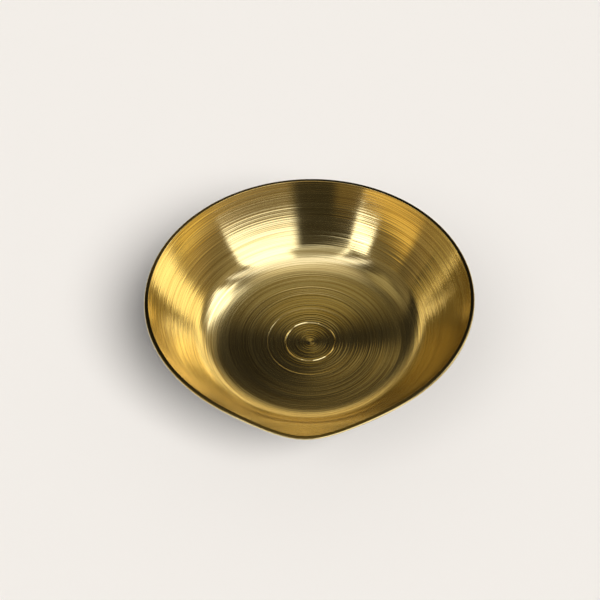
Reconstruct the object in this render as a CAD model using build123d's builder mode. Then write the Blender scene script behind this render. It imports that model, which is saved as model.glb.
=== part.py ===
from build123d import *
from math import asin, ceil, cos, cosh, pi, radians, sin, sqrt, tan
import os

# Small brass dish lamp: a turned bowl with one lip, riveted to a low turned foot.
# Millimetres. +Z is up, the origin is under the foot on the turning axis, the lip points to -Y.

# Bowl
rim_radius = 38.1  # where the outside of the wall meets the rim, before its edge is rounded
bowl_depth = 19.0  # rim down to the middle of the floor, inside
wall = 1.0  # square to the wall
floor_thickness = 1.2  # at the middle
wall_slope = radians(55.5)  # mean, measured from level
wall_swell = radians(6)  # the wall starts this much flatter than its mean and ends as much steeper
floor_slope = radians(10)  # how far the dished floor has tilted up where the corner starts
corner_radius = 11.0  # inside, from the floor up into the wall
rim_round = 0.3  # outer edge of the rim
rim_ease = 0.1  # inner edge of the rim

# Lip
lip_reach = 3.6  # how far its tip stands out beyond the round rim, before the edge is rounded
lip_spread = 7.6  # length along the rim over which the lip dies away to each side
lip_drop = 11.4  # how far below the rim the wall starts to lean out
lip_lean = 1.6  # exponent of the lean: 1 is a straight lean, 2 a hollow one

# Floor rings
scribe_radius = 10.3  # scribed ring round the riveted spigot
scribe_width = 0.24
scribe_depth = 0.08

# Foot
foot_radius = 15.0
foot_edge = 1.4  # upright edge of the foot, above the table
foot_height = 4.6  # table to the seat under the bowl
neck_radius = 11.0  # seat against the underside of the bowl
foot_bevel = 0.3

# Rivet: the foot's spigot, its hole in the bowl and the seam that shows on the floor
spigot_radius = 6.0
spigot_clearance = 0.05
seam_bevel = 0.2
centre_mark_radius = 1.2  # turning centre left in the end of the spigot
centre_mark_depth = 0.35

# Sections through each skin of the bowl, even along its profile so that the loft runs fair
section_gap = 2.1
section_points = 72

foot_slope = wall_slope - wall_swell
rim_slope = wall_slope + wall_swell
floor_height = foot_height + floor_thickness
rim_height = floor_height + bowl_depth


def floor_edge(bottom, level, corner, rim):
    """Radius where a skin's corner starts, for a floor level out to one radius and a wall up to the rim."""
    corner_run = corner * (sin(foot_slope) - sin(floor_slope))
    corner_rise = corner * (cos(floor_slope) - cos(foot_slope))
    wall_rise = (rim - corner_run) * tan(wall_slope) + corner_rise - (rim_height - bottom)
    return (wall_rise - level * tan(floor_slope / 2)) / (tan(wall_slope) - tan(floor_slope / 2))


def skin_stations(bottom, level, corner, rim, first):
    """Radius and height up one skin of the bowl, from its first radius along the floor and up the wall."""
    edge = floor_edge(bottom, level, corner, rim)
    floor_arc = (edge - level) / sin(floor_slope)
    first_turn = asin((first - level) / floor_arc)
    floor_steps = ceil((edge - first) / section_gap)
    stations = []
    for step in range(floor_steps):
        turn = first_turn + (floor_slope - first_turn) * step / floor_steps
        stations.append((level + floor_arc * sin(turn), bottom + floor_arc * (1 - cos(turn))))
    edge_height = bottom + floor_arc * (1 - cos(floor_slope))
    corner_steps = ceil(corner * (foot_slope - floor_slope) / section_gap)
    for step in range(corner_steps + 1):
        turn = floor_slope + (foot_slope - floor_slope) * step / corner_steps
        radius = edge + corner * (sin(turn) - sin(floor_slope))
        stations.append((radius, edge_height + corner * (cos(floor_slope) - cos(turn))))
    corner_end, corner_top = stations[-1]
    chord = (rim - corner_end) / cos(wall_slope)
    wall_arc = chord / (2 * sin(wall_swell))
    wall_steps = ceil(chord / section_gap)
    for step in range(wall_steps):
        turn = foot_slope + 2 * wall_swell * (step + 1) / wall_steps
        radius = corner_end + wall_arc * (sin(turn) - sin(foot_slope))
        stations.append((radius, corner_top + wall_arc * (cos(foot_slope) - cos(turn))))
    return stations


def section_outline(radius, height):
    """Points of a level section: a circle that the lip pushes out at -Y, more so towards the rim."""
    lean = max(0, 1 - (rim_height - height) / lip_drop) ** lip_lean
    points = []
    for step in range(section_points):
        angle = 2 * pi * step / section_points - pi
        reach = radius + lip_reach * lean / cosh(rim_radius * angle / lip_spread)
        points.append((reach * sin(angle), -reach * cos(angle)))
    return points


inner_rim = rim_radius - wall / sin(rim_slope)
dish_radius = floor_edge(floor_height, 0, corner_radius, inner_rim) / sin(floor_slope)


def dish_height(radius):
    """Height of the dished floor at a radius."""
    return floor_height + dish_radius - sqrt(dish_radius**2 - radius**2)


hole_radius = spigot_radius + spigot_clearance
seam_height = dish_height(spigot_radius)
outer_skin = skin_stations(foot_height, neck_radius, corner_radius + wall, rim_radius, neck_radius)
inner_skin = skin_stations(floor_height, 0, corner_radius, inner_rim, spigot_radius)

with BuildPart() as bowl:
    for radius, height in outer_skin:
        with BuildSketch(Plane.XY.offset(height)):
            with BuildLine():
                Spline(*section_outline(radius, height), periodic=True)
            make_face()
    loft()
    for radius, height in inner_skin:
        with BuildSketch(Plane.XY.offset(height)):
            with BuildLine():
                Spline(*section_outline(radius, height), periodic=True)
            make_face()
    loft(mode=Mode.SUBTRACT)
    rim_edges = bowl.edges().group_by(Axis.Z)[-1].sort_by(SortBy.LENGTH)
    fillet(rim_edges[-1], min(rim_round, wall / 3))
    fillet(bowl.edges().group_by(Axis.Z)[-1].sort_by(SortBy.LENGTH)[0], min(rim_ease, wall / 8))
    with BuildSketch(Plane.XZ):
        Polygon(
            (0, foot_height),
            (hole_radius, foot_height),
            (hole_radius, seam_height - seam_bevel),
            (hole_radius + 2 * seam_bevel, seam_height + seam_bevel),
            (0, seam_height + seam_bevel),
            align=None,
        )
    revolve(axis=Axis.Z, mode=Mode.SUBTRACT)
    with BuildSketch(Plane.XZ):
        with Locations((scribe_radius, dish_height(scribe_radius))):
            Polygon(
                (-scribe_width / 2, 0),
                (0, -scribe_depth),
                (scribe_width / 2, 0),
                align=None,
            )
    revolve(axis=Axis.Z, mode=Mode.SUBTRACT)

spigot_edge = spigot_radius - seam_bevel
spigot_middle = (spigot_edge + centre_mark_radius) / 2
with BuildPart() as foot:
    with BuildSketch(Plane.XZ):
        with BuildLine():
            base = Polyline(
                (0, 0),
                (foot_radius - foot_bevel, 0),
                (foot_radius, foot_bevel),
                (foot_radius, foot_edge),
            )
            cove = TangentArc(base @ 1, (neck_radius, foot_height), tangent=(-1, 0))
            spigot = Polyline(
                cove @ 1,
                (spigot_radius, foot_height),
                (spigot_radius, seam_height - seam_bevel),
                (spigot_edge, dish_height(spigot_edge)),
            )
            spigot_end = ThreePointArc(
                spigot @ 1,
                (spigot_middle, dish_height(spigot_middle)),
                (centre_mark_radius, dish_height(centre_mark_radius)),
            )
            Polyline(
                spigot_end @ 1,
                (0, floor_height - centre_mark_depth),
                (0, 0),
            )
        make_face()
    revolve(axis=Axis.Z)

bowl.part.label = "bowl"
foot.part.label = "foot"

os.makedirs("parts", exist_ok=True)
export_step(bowl.part, "parts/bowl.step")
export_step(foot.part, "parts/foot.step")
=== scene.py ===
import random
from math import atan2, cos, hypot, pi, radians, sin, sqrt, tan

import bpy
import numpy as np
from mathutils import Matrix, Vector


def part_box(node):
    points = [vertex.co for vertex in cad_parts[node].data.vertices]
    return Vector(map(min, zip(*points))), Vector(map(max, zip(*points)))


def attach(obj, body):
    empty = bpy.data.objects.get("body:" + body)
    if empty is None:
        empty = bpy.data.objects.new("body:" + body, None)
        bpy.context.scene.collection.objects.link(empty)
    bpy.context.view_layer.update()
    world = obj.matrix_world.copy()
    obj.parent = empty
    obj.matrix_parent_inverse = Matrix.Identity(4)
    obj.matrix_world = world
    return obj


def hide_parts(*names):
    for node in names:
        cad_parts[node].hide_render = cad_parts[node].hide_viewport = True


# Small turned brass dish lamp with one lip. Lengths are millimetres, turned into metres by MM.
# Azimuths are degrees about the turning axis, from the lip (-Y) towards +X.
# Elevations are degrees from level.

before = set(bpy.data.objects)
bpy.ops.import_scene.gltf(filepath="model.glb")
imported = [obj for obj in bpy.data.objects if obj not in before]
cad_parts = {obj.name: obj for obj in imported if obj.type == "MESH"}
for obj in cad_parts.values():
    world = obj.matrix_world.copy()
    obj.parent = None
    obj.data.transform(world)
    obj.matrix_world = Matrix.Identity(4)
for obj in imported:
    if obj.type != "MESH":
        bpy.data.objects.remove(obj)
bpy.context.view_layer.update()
bowl_low, bowl_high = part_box("bowl")
_, foot_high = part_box("foot")
MM = 0.001

# Bowl, as in the solids
FLOOR_HEIGHT = 5.8
RIM_HEIGHT = bowl_high.z / MM
RIM_RADIUS = 38.1
WALL = 1.0
WALL_SLOPE = radians(55.5)
WALL_SWELL = radians(6)
FOOT_SLOPE = WALL_SLOPE - WALL_SWELL
RIM_SLOPE = WALL_SLOPE + WALL_SWELL
INNER_RIM = RIM_RADIUS - WALL / sin(RIM_SLOPE)
FLOOR_SLOPE = radians(10)
CORNER_RADIUS = 11.0
RIM_ROUND = 0.3
RIM_EASE = 0.1
LIP_REACH = 3.6
LIP_SPREAD = 7.6
LIP_DROP = 11.4
LIP_LEAN = 1.6
HOLE_RADIUS = 6.05

# Foot, as in the solids
FOOT_HEIGHT = bowl_low.z / MM
FOOT_RADIUS = foot_high.x / MM
FOOT_EDGE = 1.4
FOOT_BEVEL = 0.3
NECK_RADIUS = 11.0
SPIGOT_RADIUS = 6.0

# Marks of the lathe, at the radii that the solids give them but as fine as the photograph shows them
SCRIBE_RADIUS = 10.3
SCRIBE_WIDTH = 0.16
SCRIBE_DEPTH = 0.02
SEAM_BEVEL = 0.1
PIT_RADIUS = 1.2
PIT_DEPTH = 0.1
CUT_WIDTHS = (0.36, 0.72)
CUT_DEPTHS = (0.012, 0.040)  # as a share of the width
WALL_CUTS_FROM = 16.0  # along the inside of the bowl, from the seam
WALL_CUTS_SHARE = 0.4  # depth of the cuts up the wall, as a share of those on the floor
BOWL_SEED = 5
FOOT_SEED = 11

# Mesh
FINE_STEP = 0.08
COARSE_STEP = 0.9
ROUND_STEP = 0.06
BOWL_COLUMNS = 160
FOOT_COLUMNS = 144
AXIS_GAP = 0.02  # smallest radius, so that the rings don't close up at the axis
SHARP_EDGE = radians(32)

# Brass
BRASS = (0.91, 0.765, 0.40)
DARK_BRASS = (0.55, 0.40, 0.15)
DARK_RINGS = (0.42, 0.66)  # fine noise at which a ring starts to darken and is darkest
DARK_SHARE = 0.8  # how much dark brass there is in the darkest rings
# Painted dark reflection: a near-black colour mixed onto the flat top of the rim, standing in for the dark
# surroundings that the rim reflects
PAINTED_RIM_REFLECTION = (0.03, 0.02, 0.01)
PAINTED_RIM_SHARE = 0.7  # how much of the painted dark reflection lies on the flat top of the rim
RIM_BAND = (0.04, 0.01)  # depths under the top of the rim between which the painted dark reflection fades in
ROUGHNESS = 0.125
CORNER_ROUGHNESS = 0.2
CORNER_STARTS = (18, 22)  # radii between which the duller corner of the bowl fades in
CORNER_ENDS = (24, 28)  # radii between which it fades out again
DULL_RINGS = (0.3, 0.7)  # broad noise in the shiniest and in the dullest rings
DULL_FACTORS = (0.88, 1.14)  # what the roughness is multiplied by there
RING_HEIGHT = 0.004
SHEEN_STRETCH = 0.5
SHEEN_TURN = 0.25  # in turns, from the tangent round the axis

# Photograph: the camera's distance from the middle of the rim, and how it is aimed
CAMERA_DISTANCE = 246.3
CAMERA_TILT = radians(48.425)
CAMERA_TURN = radians(3)
CAMERA_ROLL = radians(-1.92)
CAMERA_ASIDE = -2.05
CAMERA_RAISE = -2.47
FOCAL_LENGTH = 64.2
NEAR = 10
FAR = 20000

# Studio
FLOOR_COLOUR = (0.887, 0.847, 0.799)
FLOOR_ROUGHNESS = 0.9
FLOOR_HALF = 6000
FLOOR_AMBIENT = (0.12, 0.12, 0.12)
PANEL_DISTANCE = 900
ROOM = (  # sine of the elevation and colour of the dim room that the metal shows between the panels
    (0.0, (0.55, 0.385, 0.13)),
    (0.17, (0.40, 0.29, 0.13)),
    (0.30, (0.18, 0.14, 0.07)),
    (0.50, (0.33, 0.27, 0.15)),
    (0.82, (0.10, 0.08, 0.04)),
    (0.90, (0.13, 0.11, 0.065)),
    (0.97, (0.75, 0.67, 0.50)),
    (1.0, (0.85, 0.78, 0.64)),
)
ROOM_LEFT = -0.7  # X of the directions up to which the room is dimmest
ROOM_RIGHT = 0.1  # X of the directions from which it has its full brightness
ROOM_LEFT_SHARE = 0.6  # brightness on the left, as a share of that on the right


def new_material(name):
    """A new material, its node tree and its Principled shader."""
    material = bpy.data.materials.new(name)
    material.use_nodes = True
    return material, material.node_tree, material.node_tree.nodes["Principled BSDF"]


def node(tree, kind, inputs=(), **settings):
    """Adds a shader node, sets its properties and fills its inputs with values or with other sockets."""
    made = tree.nodes.new(kind)
    for key, value in settings.items():
        setattr(made, key, value)
    for key, value in dict(inputs).items():
        if isinstance(value, bpy.types.NodeSocket):
            tree.links.new(value, made.inputs[key])
        else:
            made.inputs[key].default_value = value
    return made


def fade(tree, value, start, end, low=0.0, high=1.0, **settings):
    """Goes from low to high as a value goes from start to end."""
    inputs = {0: value, 1: start, 2: end, 3: low, 4: high}
    return node(tree, "ShaderNodeMapRange", inputs, **settings).outputs[0]


def product(tree, first, second):
    """Two values multiplied."""
    return node(tree, "ShaderNodeMath", {0: first, 1: second}, operation="MULTIPLY").outputs[0]


def blend(tree, share, first, second):
    """A colour that goes from the first to the second as the share goes from 0 to 1."""
    return node(tree, "ShaderNodeMix", {0: share, 6: first, 7: second}, data_type="RGBA").outputs[2]


def straight(start, end, step):
    """Points from start up to, but not including, end."""
    (r0, z0), (r1, z1) = start, end
    count = max(1, round(hypot(r1 - r0, z1 - z0) / step))
    return [(r0 + (r1 - r0) * i / count, z0 + (z1 - z0) * i / count) for i in range(count)]


def arc(centre, radius, start, end, step):
    """Points of an arc up to, but not including, its end. Angles are from level, outwards."""
    count = max(2, round(abs(end - start) * radius / step))
    turns = [start + (end - start) * i / count for i in range(count)]
    return [(centre[0] + radius * cos(t), centre[1] + radius * sin(t)) for t in turns]


def floor_edge(bottom, level, corner, rim):
    """Radius where a skin's corner starts, for a floor level out to one radius and a wall up to the rim."""
    run = corner * (sin(FOOT_SLOPE) - sin(FLOOR_SLOPE))
    rise = corner * (cos(FLOOR_SLOPE) - cos(FOOT_SLOPE))
    steep, shallow = tan(WALL_SLOPE), tan(FLOOR_SLOPE / 2)
    return ((rim - run) * steep + rise - (RIM_HEIGHT - bottom) - level * shallow) / (steep - shallow)


def skin(bottom, level, corner, rim, step):
    """Points up one skin of the bowl: a floor that tilts up from level, the corner, and a wall that is
    flatter than its mean slope by the swell at its foot and steeper by as much at the rim."""
    edge = floor_edge(bottom, level, corner, rim)
    floor_arc = (edge - level) / sin(FLOOR_SLOPE)
    points = arc((level, bottom + floor_arc), floor_arc, -pi / 2, FLOOR_SLOPE - pi / 2, step)
    edge_height = bottom + floor_arc * (1 - cos(FLOOR_SLOPE))
    corner_centre = (edge - corner * sin(FLOOR_SLOPE), edge_height + corner * cos(FLOOR_SLOPE))
    points += arc(corner_centre, corner, FLOOR_SLOPE - pi / 2, FOOT_SLOPE - pi / 2, step)
    foot = (corner_centre[0] + corner * sin(FOOT_SLOPE), corner_centre[1] - corner * cos(FOOT_SLOPE))
    wall_arc = (rim - foot[0]) / cos(WALL_SLOPE) / (2 * sin(WALL_SWELL))
    wall_centre = (foot[0] - wall_arc * sin(FOOT_SLOPE), foot[1] + wall_arc * cos(FOOT_SLOPE))
    points += arc(wall_centre, wall_arc, FOOT_SLOPE - pi / 2, RIM_SLOPE - pi / 2, step)
    return points


def dish_height(radius):
    """Height of the dished floor at a radius."""
    dish_radius = floor_edge(FLOOR_HEIGHT, 0, CORNER_RADIUS, INNER_RIM) / sin(FLOOR_SLOPE)
    return FLOOR_HEIGHT + dish_radius - sqrt(dish_radius**2 - radius**2)


def turning_cuts(length, seed, smooth_from):
    """Tool marks along a profile: (start, width, depth) of each cut, shallower from a distance on."""
    draw = random.Random(seed)
    cuts = []
    start = 0.0
    while start < length:
        width = draw.uniform(*CUT_WIDTHS)
        depth = width * draw.uniform(*CUT_DEPTHS)
        if start > smooth_from:
            depth *= WALL_CUTS_SHARE
        cuts.append((start, width, depth))
        start += width
    return cuts


def cut_depth(cuts, distance):
    """How deep the tool marks lie at a distance along the profile."""
    for start, width, depth in cuts:
        if start <= distance < start + width:
            share = 2 * (distance - start) / width - 1
            return depth * (1 - share * share)
    return 0.0


def turned(points, cuts):
    """Points of a profile, sunk into the metal by the tool marks. The metal is on the right of the run."""
    sunk = []
    distance = 0.0
    for i, (r, z) in enumerate(points):
        before, after = points[max(i - 1, 0)], points[min(i + 1, len(points) - 1)]
        along = (after[0] - before[0], after[1] - before[1])
        size = hypot(*along)
        depth = cut_depth(cuts, distance)
        sunk.append((r + along[1] / size * depth, z - along[0] / size * depth))
        distance += hypot(after[0] - r, after[1] - z)
    return sunk


def scribed(points):
    """The points of the floor with the scribed ring let in."""
    before = [p for p in points if p[0] < SCRIBE_RADIUS - SCRIBE_WIDTH / 2]
    after = [p for p in points if p[0] > SCRIBE_RADIUS + SCRIBE_WIDTH / 2]
    level = (before[-1][1] + after[0][1]) / 2
    return before + [
        (SCRIBE_RADIUS - SCRIBE_WIDTH / 2, level),
        (SCRIBE_RADIUS, level - SCRIBE_DEPTH),
        (SCRIBE_RADIUS + SCRIBE_WIDTH / 2, level),
    ] + after


def bowl_profile():
    """Once round the wall of the bowl: floor, corner, wall, rim, outside, underside and hole."""
    inner_tangent = RIM_EASE / tan((pi - RIM_SLOPE) / 2)
    inside = skin(FLOOR_HEIGHT, 0, CORNER_RADIUS, INNER_RIM, FINE_STEP)
    inside = [(r, z) for r, z in inside if r > HOLE_RADIUS + SEAM_BEVEL and z < RIM_HEIGHT - inner_tangent]
    length = sum(hypot(b[0] - a[0], b[1] - a[1]) for a, b in zip(inside, inside[1:]))
    inside = scribed(turned(inside, turning_cuts(length, BOWL_SEED, WALL_CUTS_FROM)))

    outer_tangent = RIM_ROUND / tan(RIM_SLOPE / 2)
    inner_round = (INNER_RIM + inner_tangent, RIM_HEIGHT - RIM_EASE)
    outer_round = (RIM_RADIUS - outer_tangent, RIM_HEIGHT - RIM_ROUND)
    rim = arc(inner_round, RIM_EASE, RIM_SLOPE + pi / 2, pi / 2, ROUND_STEP)
    rim += straight((inner_round[0], RIM_HEIGHT), (outer_round[0], RIM_HEIGHT), ROUND_STEP)
    rim += arc(outer_round, RIM_ROUND, pi / 2, RIM_SLOPE - pi / 2, ROUND_STEP)

    outside = skin(FOOT_HEIGHT, NECK_RADIUS, CORNER_RADIUS + WALL, RIM_RADIUS, COARSE_STEP)[::-1]
    outside = [(r, z) for r, z in outside if z < RIM_HEIGHT - outer_tangent * sin(RIM_SLOPE)]
    outside += straight(outside[-1], (HOLE_RADIUS, FOOT_HEIGHT), COARSE_STEP)[1:]
    seam = dish_height(HOLE_RADIUS) - SEAM_BEVEL
    hole = straight((HOLE_RADIUS, FOOT_HEIGHT), (HOLE_RADIUS, seam), COARSE_STEP) + [(HOLE_RADIUS, seam)]
    return inside + rim + outside + hole


def foot_profile():
    """From the turning pit on the end of the spigot out and down to the middle of the underside."""
    end_radius = SPIGOT_RADIUS - SEAM_BEVEL
    disc = straight((AXIS_GAP, FLOOR_HEIGHT - PIT_DEPTH), (PIT_RADIUS, dish_height(PIT_RADIUS)), FINE_STEP)
    end = [(r, dish_height(r)) for r in np.arange(PIT_RADIUS, end_radius, FINE_STEP).tolist()]
    disc += turned(end, turning_cuts(end_radius - PIT_RADIUS, FOOT_SEED, end_radius))
    seam = dish_height(SPIGOT_RADIUS) - SEAM_BEVEL
    disc += straight((end_radius, dish_height(end_radius)), (SPIGOT_RADIUS, seam), ROUND_STEP)
    spigot = straight((SPIGOT_RADIUS, seam), (SPIGOT_RADIUS, FOOT_HEIGHT), COARSE_STEP)
    seat = straight((SPIGOT_RADIUS, FOOT_HEIGHT), (NECK_RADIUS, FOOT_HEIGHT), COARSE_STEP)
    rise, run = FOOT_HEIGHT - FOOT_EDGE, FOOT_RADIUS - NECK_RADIUS
    cove_radius = (rise * rise + run * run) / (2 * rise)
    cove_centre = (FOOT_RADIUS, FOOT_EDGE + cove_radius)
    cove_start = atan2(FOOT_HEIGHT - cove_centre[1], NECK_RADIUS - cove_centre[0])
    cove = arc(cove_centre, cove_radius, cove_start % (2 * pi), 3 * pi / 2, FINE_STEP)
    edge = straight((FOOT_RADIUS, FOOT_EDGE), (FOOT_RADIUS, FOOT_BEVEL), FINE_STEP)
    edge += straight((FOOT_RADIUS, FOOT_BEVEL), (FOOT_RADIUS - FOOT_BEVEL, 0), ROUND_STEP)
    under = straight((FOOT_RADIUS - FOOT_BEVEL, 0), (AXIS_GAP, 0), COARSE_STEP)
    return disc + spigot + seat + cove + edge + under + [(AXIS_GAP, 0)]


def lip_reach(height, angle):
    """How far the lip pushes the wall out at a height and an azimuth."""
    lean = np.clip(1 - (RIM_HEIGHT - height) / LIP_DROP, 0, None) ** LIP_LEAN
    turn = (angle + pi) % (2 * pi) - pi
    return LIP_REACH * lean / np.cosh(RIM_RADIUS * turn / LIP_SPREAD)


def no_reach(height, angle):
    """The foot is round, so nothing pushes it out."""
    return 0 * height + 0 * angle


def lathe(name, profile, columns, reach, closed):
    """A mesh turned about the axis: one ring for each profile point, u round it and v along the profile."""
    angles = np.array([2 * pi * i / columns - pi for i in range(columns)])
    rings = np.array(profile)
    radius = rings[:, :1] + reach(rings[:, 1:], angles[None, :])
    height = np.broadcast_to(rings[:, 1:], radius.shape)
    points = np.stack([radius * np.sin(angles), -radius * np.cos(angles), height], axis=-1)
    rows, wide = radius.shape
    lengths = np.hypot(*np.diff(np.vstack([rings, rings[:1]]), axis=0).T)
    along = np.concatenate([[0.0], np.cumsum(lengths)])
    faces, uvs = [], []
    turns = np.append((angles - angles[0]) / (2 * pi), 1.0)
    for i in range(rows if closed else rows - 1):
        below = (i + 1) % rows
        for j in range(wide):
            after = (j + 1) % wide
            faces.append((i * wide + j, i * wide + after, below * wide + after, below * wide + j))
            uvs += [(turns[j], along[i]), (turns[j + 1], along[i])]
            uvs += [(turns[j + 1], along[i + 1]), (turns[j], along[i + 1])]
    mesh = bpy.data.meshes.new(name)
    mesh.from_pydata((points.reshape(-1, 3) * MM).tolist(), [], faces)
    layer = mesh.uv_layers.new(name="turning")
    layer.data.foreach_set("uv", np.array(uvs, dtype=np.float32).ravel())
    return mesh


def show(mesh, node_name, material):
    """Makes a mesh into the piece that stands for a CAD node."""
    mesh.validate()
    mesh.shade_smooth()
    mesh.set_sharp_from_angle(angle=SHARP_EDGE)
    mesh.materials.append(material)
    piece = bpy.data.objects.new(mesh.name, mesh)
    bpy.context.scene.collection.objects.link(piece)
    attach(piece, "root")
    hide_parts(node_name)
    return piece


def ring_noise(tree, flat, per_mm, round_scale, detail):
    """Noise that runs round the axis: per_mm lines across the rings, slowly changing along them."""
    radial = node(tree, "ShaderNodeVectorMath", {0: flat}, operation="NORMALIZE").outputs[0]
    turning = node(tree, "ShaderNodeUVMap", uv_map="turning").outputs[0]
    along = node(tree, "ShaderNodeSeparateXYZ", {0: turning}).outputs["Y"]
    lift = node(tree, "ShaderNodeCombineXYZ", {"Z": product(tree, along, per_mm)}).outputs[0]
    mixing = {0: radial, 1: (round_scale,) * 3, 2: lift}
    spot = node(tree, "ShaderNodeVectorMath", mixing, operation="MULTIPLY_ADD").outputs[0]
    return node(tree, "ShaderNodeTexNoise", {"Vector": spot, "Scale": 1.0, "Detail": detail}).outputs[0]


def turned_brass(name, corner_roughness):
    """Brass off the lathe: fine rings in colour, roughness and height, and a sheen drawn out across them.
    The flat top of the rim gets a painted dark reflection mixed into its colour, and the corner of the bowl
    may be duller than the rest."""
    material, tree, shader = new_material(name)
    place = node(tree, "ShaderNodeTexCoord").outputs["Object"]
    flat = node(tree, "ShaderNodeVectorMath", {0: place, 1: (1, 1, 0)}, operation="MULTIPLY").outputs[0]
    fine = ring_noise(tree, flat, per_mm=4.0, round_scale=0.8, detail=3.0)
    broad = ring_noise(tree, flat, per_mm=0.9, round_scale=0.6, detail=2.0)

    darkness = fade(tree, fine, *DARK_RINGS, high=DARK_SHARE)
    ringed = blend(tree, darkness, (*BRASS, 1), (*DARK_BRASS, 1))
    height = node(tree, "ShaderNodeSeparateXYZ", {0: place}).outputs["Z"]
    band_low, band_high = [(RIM_HEIGHT - depth) * MM for depth in RIM_BAND]
    # Painted dark reflection on the flat top of the rim, mixed into the base colour
    painted_rim_reflection = fade(tree, height, band_low, band_high, high=PAINTED_RIM_SHARE)
    tree.links.new(blend(tree, painted_rim_reflection, ringed, (*PAINTED_RIM_REFLECTION, 1)), shader.inputs["Base Color"])

    from_axis = node(tree, "ShaderNodeVectorMath", {0: flat}, operation="LENGTH").outputs["Value"]
    past_floor = fade(tree, from_axis, CORNER_STARTS[0] * MM, CORNER_STARTS[1] * MM)
    below_wall = fade(tree, from_axis, CORNER_ENDS[1] * MM, CORNER_ENDS[0] * MM)
    in_corner = product(tree, past_floor, below_wall)
    mean_rough = fade(tree, in_corner, 0.0, 1.0, ROUGHNESS, corner_roughness)
    rough = product(tree, mean_rough, fade(tree, broad, *DULL_RINGS, *DULL_FACTORS))
    tree.links.new(rough, shader.inputs["Roughness"])

    bump = node(tree, "ShaderNodeBump", {"Strength": 1.0, "Distance": RING_HEIGHT * MM, "Height": fine})
    tree.links.new(bump.outputs[0], shader.inputs["Normal"])
    tangent = node(tree, "ShaderNodeTangent", direction_type="UV_MAP", uv_map="turning")
    tree.links.new(tangent.outputs[0], shader.inputs["Tangent"])
    shader.inputs["Metallic"].default_value = 1.0
    shader.inputs["Anisotropic"].default_value = SHEEN_STRETCH
    shader.inputs["Anisotropic Rotation"].default_value = SHEEN_TURN
    return material


def bearing(azimuth, elevation):
    """The direction of an azimuth and an elevation."""
    a, e = radians(azimuth), radians(elevation)
    return Vector((sin(a) * cos(e), -cos(a) * cos(e), sin(e)))


def look_along(direction):
    """A rotation whose -Z looks along the direction, with +Y as nearly up as it can be."""
    return direction.to_track_quat("-Z", "Y")


def soft_panel(name, azimuth, sides, levels, shade, feather, distance=PANEL_DISTANCE, blocks=False):
    """An upright glowing panel that shows in the metal only, square to its azimuth. As seen from the
    origin it reaches from one azimuth to another and, straight ahead, from one elevation to another.
    It fades out over the feather inside its edges, and may block the light of the panels behind it."""
    left, right = [distance * tan(radians(turn - azimuth)) * MM for turn in sides]
    low, high = [distance * tan(radians(level)) * MM for level in levels]
    x, y = (right - left) / 2, (high - low) / 2
    mesh = bpy.data.meshes.new(name)
    mesh.from_pydata([(-x, -y, 0), (x, -y, 0), (x, y, 0), (-x, y, 0)], [], [(0, 1, 2, 3)])
    material, tree, shader = new_material(name)
    place = node(tree, "ShaderNodeTexCoord").outputs["Object"]
    split = node(tree, "ShaderNodeSeparateXYZ", {0: place})
    fades = []
    for axis, half in (("X", x), ("Y", y)):
        aside = node(tree, "ShaderNodeMath", {0: split.outputs[axis]}, operation="ABSOLUTE").outputs[0]
        fades.append(fade(tree, aside, half, half - feather * MM, interpolation_type="SMOOTHSTEP"))
    glow = node(tree, "ShaderNodeEmission", {"Color": (*shade, 1), "Strength": 1.0}).outputs[0]
    clear = node(tree, "ShaderNodeBsdfTransparent").outputs[0]
    mixed = node(tree, "ShaderNodeMixShader", {0: product(tree, *fades), 1: clear, 2: glow})
    tree.links.new(mixed.outputs[0], tree.nodes["Material Output"].inputs["Surface"])
    tree.nodes.remove(shader)
    mesh.materials.append(material)
    panel = bpy.data.objects.new(name, mesh)
    out, across = bearing(azimuth, 0), bearing(azimuth + 90, 0)
    panel.location = out * distance * MM + across * (left + right) / 2 + Vector((0, 0, (low + high) / 2))
    panel.rotation_mode = "QUATERNION"
    panel.rotation_quaternion = look_along(-out)
    panel.visible_camera = False
    panel.visible_diffuse = False
    panel.visible_shadow = blocks
    bpy.context.scene.collection.objects.link(panel)


def make_floor():
    """A wide pale floor under the foot."""
    half = FLOOR_HALF * MM
    corners = [(-half, -half, 0), (half, -half, 0), (half, half, 0), (-half, half, 0)]
    mesh = bpy.data.meshes.new("floor")
    mesh.from_pydata(corners, [], [(0, 1, 2, 3)])
    material, _, shader = new_material("pale_floor")
    shader.inputs["Base Color"].default_value = (*FLOOR_COLOUR, 1)
    shader.inputs["Roughness"].default_value = FLOOR_ROUGHNESS
    shader.inputs["Specular IOR Level"].default_value = 0.0
    mesh.materials.append(material)
    floor = bpy.data.objects.new("floor", mesh)
    bpy.context.scene.collection.objects.link(floor)


def make_world():
    """Pale behind the floor, an even low light for the floor and, for the metal, a dim room."""
    world = bpy.data.worlds.new("studio")
    world.use_nodes = True
    tree = world.node_tree
    path = node(tree, "ShaderNodeLightPath")
    direction = node(tree, "ShaderNodeTexCoord").outputs["Generated"]
    split = node(tree, "ShaderNodeSeparateXYZ", {0: direction})
    ramp = node(tree, "ShaderNodeValToRGB", {0: split.outputs["Z"]})
    stops = ramp.color_ramp.elements
    stops[0].position, stops[0].color = ROOM[0][0], (*ROOM[0][1], 1)
    stops[1].position, stops[1].color = ROOM[-1][0], (*ROOM[-1][1], 1)
    for level, colour in ROOM[1:-1]:
        stops.new(level).color = (*colour, 1)
    brightness = fade(tree, split.outputs["X"], ROOM_LEFT, ROOM_RIGHT, low=ROOM_LEFT_SHARE)
    scaling = {0: ramp.outputs[0], "Scale": brightness}
    room = node(tree, "ShaderNodeVectorMath", scaling, operation="SCALE").outputs[0]
    lit = blend(tree, path.outputs["Is Diffuse Ray"], room, (*FLOOR_AMBIENT, 1))
    seen = blend(tree, path.outputs["Is Camera Ray"], lit, (*FLOOR_COLOUR, 1))
    tree.links.new(seen, tree.nodes["Background"].inputs["Color"])
    bpy.context.scene.world = world


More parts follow.
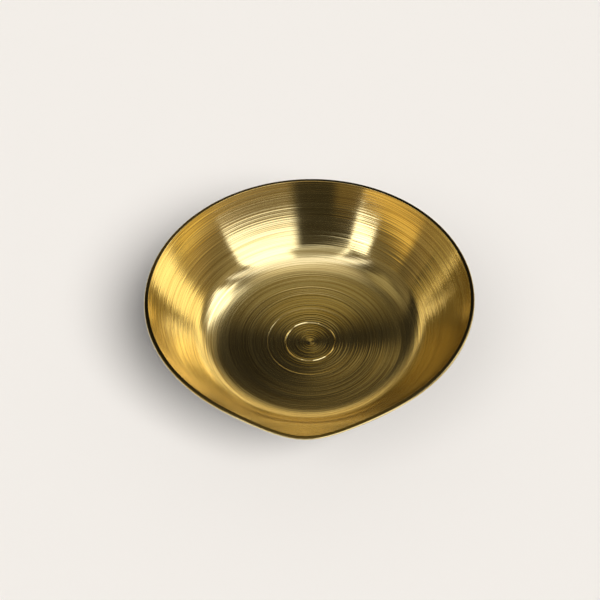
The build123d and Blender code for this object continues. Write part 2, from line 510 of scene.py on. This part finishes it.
def make_sun(name, azimuth, elevation, energy, spread, blockers):
    """Soft light for the floor, which only the lamp's own pieces shade. The metal doesn't show it."""
    lamp = bpy.data.lights.new(name, "SUN")
    lamp.energy = energy
    lamp.angle = radians(spread)
    sun = bpy.data.objects.new(name, lamp)
    sun.rotation_mode = "QUATERNION"
    sun.rotation_quaternion = look_along(-bearing(azimuth, elevation))
    sun.visible_glossy = False
    sun.light_linking.blocker_collection = blockers
    bpy.context.scene.collection.objects.link(sun)


def make_camera():
    """The photograph's view."""
    turn = Matrix.Rotation(CAMERA_TURN, 3, "Z")
    back = turn @ Vector((0, -cos(CAMERA_TILT), sin(CAMERA_TILT)))
    level = turn @ Vector((1, 0, 0))
    upright = back.cross(level)
    right = cos(CAMERA_ROLL) * level + sin(CAMERA_ROLL) * upright
    up = cos(CAMERA_ROLL) * upright - sin(CAMERA_ROLL) * level
    lens = bpy.data.cameras.new("camera")
    lens.lens = FOCAL_LENGTH
    lens.clip_start, lens.clip_end = NEAR * MM, FAR * MM
    camera = bpy.data.objects.new("camera", lens)
    place = back * CAMERA_DISTANCE + right * CAMERA_ASIDE + up * CAMERA_RAISE + Vector((0, 0, RIM_HEIGHT))
    axes = Matrix((right, up, back)).transposed().to_4x4()
    camera.matrix_world = Matrix.Translation(place * MM) @ axes
    bpy.context.scene.collection.objects.link(camera)
    bpy.context.scene.camera = camera


bowl_brass = turned_brass("bowl_brass", CORNER_ROUGHNESS)
foot_brass = turned_brass("foot_brass", ROUGHNESS)
bowl_mesh = lathe("turned_bowl", bowl_profile(), BOWL_COLUMNS, lip_reach, closed=True)
foot_mesh = lathe("turned_foot", foot_profile(), FOOT_COLUMNS, no_reach, closed=False)
brass_pieces = bpy.data.collections.new("brass_pieces")
brass_pieces.objects.link(show(bowl_mesh, "bowl", bowl_brass))
brass_pieces.objects.link(show(foot_mesh, "foot", foot_brass))

# Warm light low in the room, which the walls of the bowl show
soft_panel("left_low", -60, (-84, -12), (6, 22), (0.90, 0.61, 0.17), 120)
soft_panel("right_low", 80, (36, 110), (-6, 12), (0.90, 0.63, 0.17), 90)
soft_panel("back_low", 147, (132, 162), (11, 25), (0.85, 0.70, 0.42), 80)

# The window in front, which the back wall shows
soft_panel("window_head", 12, (-62, 88), (67, 85), (1.35, 1.35, 1.45), 300, 920)
soft_panel("front_window", 12, (-39, 68), (26, 70), (1.9, 1.9, 1.9), 110)
soft_panel("front_strip", -45, (-54, -34), (22, 34), (2.6, 2.6, 2.6), 60)

# The window on the right, which makes the bright patch at the left of the floor
soft_panel("side_window", 118, (97, 139), (29, 58), (2.3, 2.3, 2.3), 130)
soft_panel("side_head", 138, (127, 150), (50, 66), (1.7, 1.7, 1.7), 160)

# Dim parts of the room on the left and behind, which the floor and the front wall show
soft_panel("left_haze", -104, (-130, -78), (42, 66), (0.36, 0.31, 0.18), 180, 690)
soft_panel("back_haze", 183, (152, 214), (56, 71), (0.24, 0.21, 0.12), 300)
soft_panel("back_glow", 183, (166, 200), (52, 63), (0.38, 0.28, 0.08), 220, 690)
soft_panel("back_dim", 190, (180, 203), (39, 48), (0.24, 0.19, 0.09), 60, 690)

# Dark shapes behind the lamp and before the front window, and a dim warm one nearest to the lamp
soft_panel("dark_back", 183, (148, 264), (24, 57), (0.025, 0.022, 0.016), 200, 700, blocks=True)
soft_panel("dim_front", 12, (-36, 26), (42, 70), (0.40, 0.37, 0.29), 120, 690, blocks=True)
soft_panel("dark_front", 12, (-38, 17), (6, 46), (0.04, 0.034, 0.02), 110, 680, blocks=True)
soft_panel("front_low", -29, (-40, -14), (6, 28), (0.17, 0.12, 0.045), 90, 640)

make_floor()
make_world()
make_sun("key_light", azimuth=37, elevation=46, energy=3.13, spread=32, blockers=brass_pieces)
make_sun("fill_light", azimuth=-35, elevation=50, energy=0.71, spread=40, blockers=brass_pieces)
make_camera()
bpy.context.scene.view_settings.view_transform = "Standard"
bpy.context.scene.cycles.caustics_reflective = False
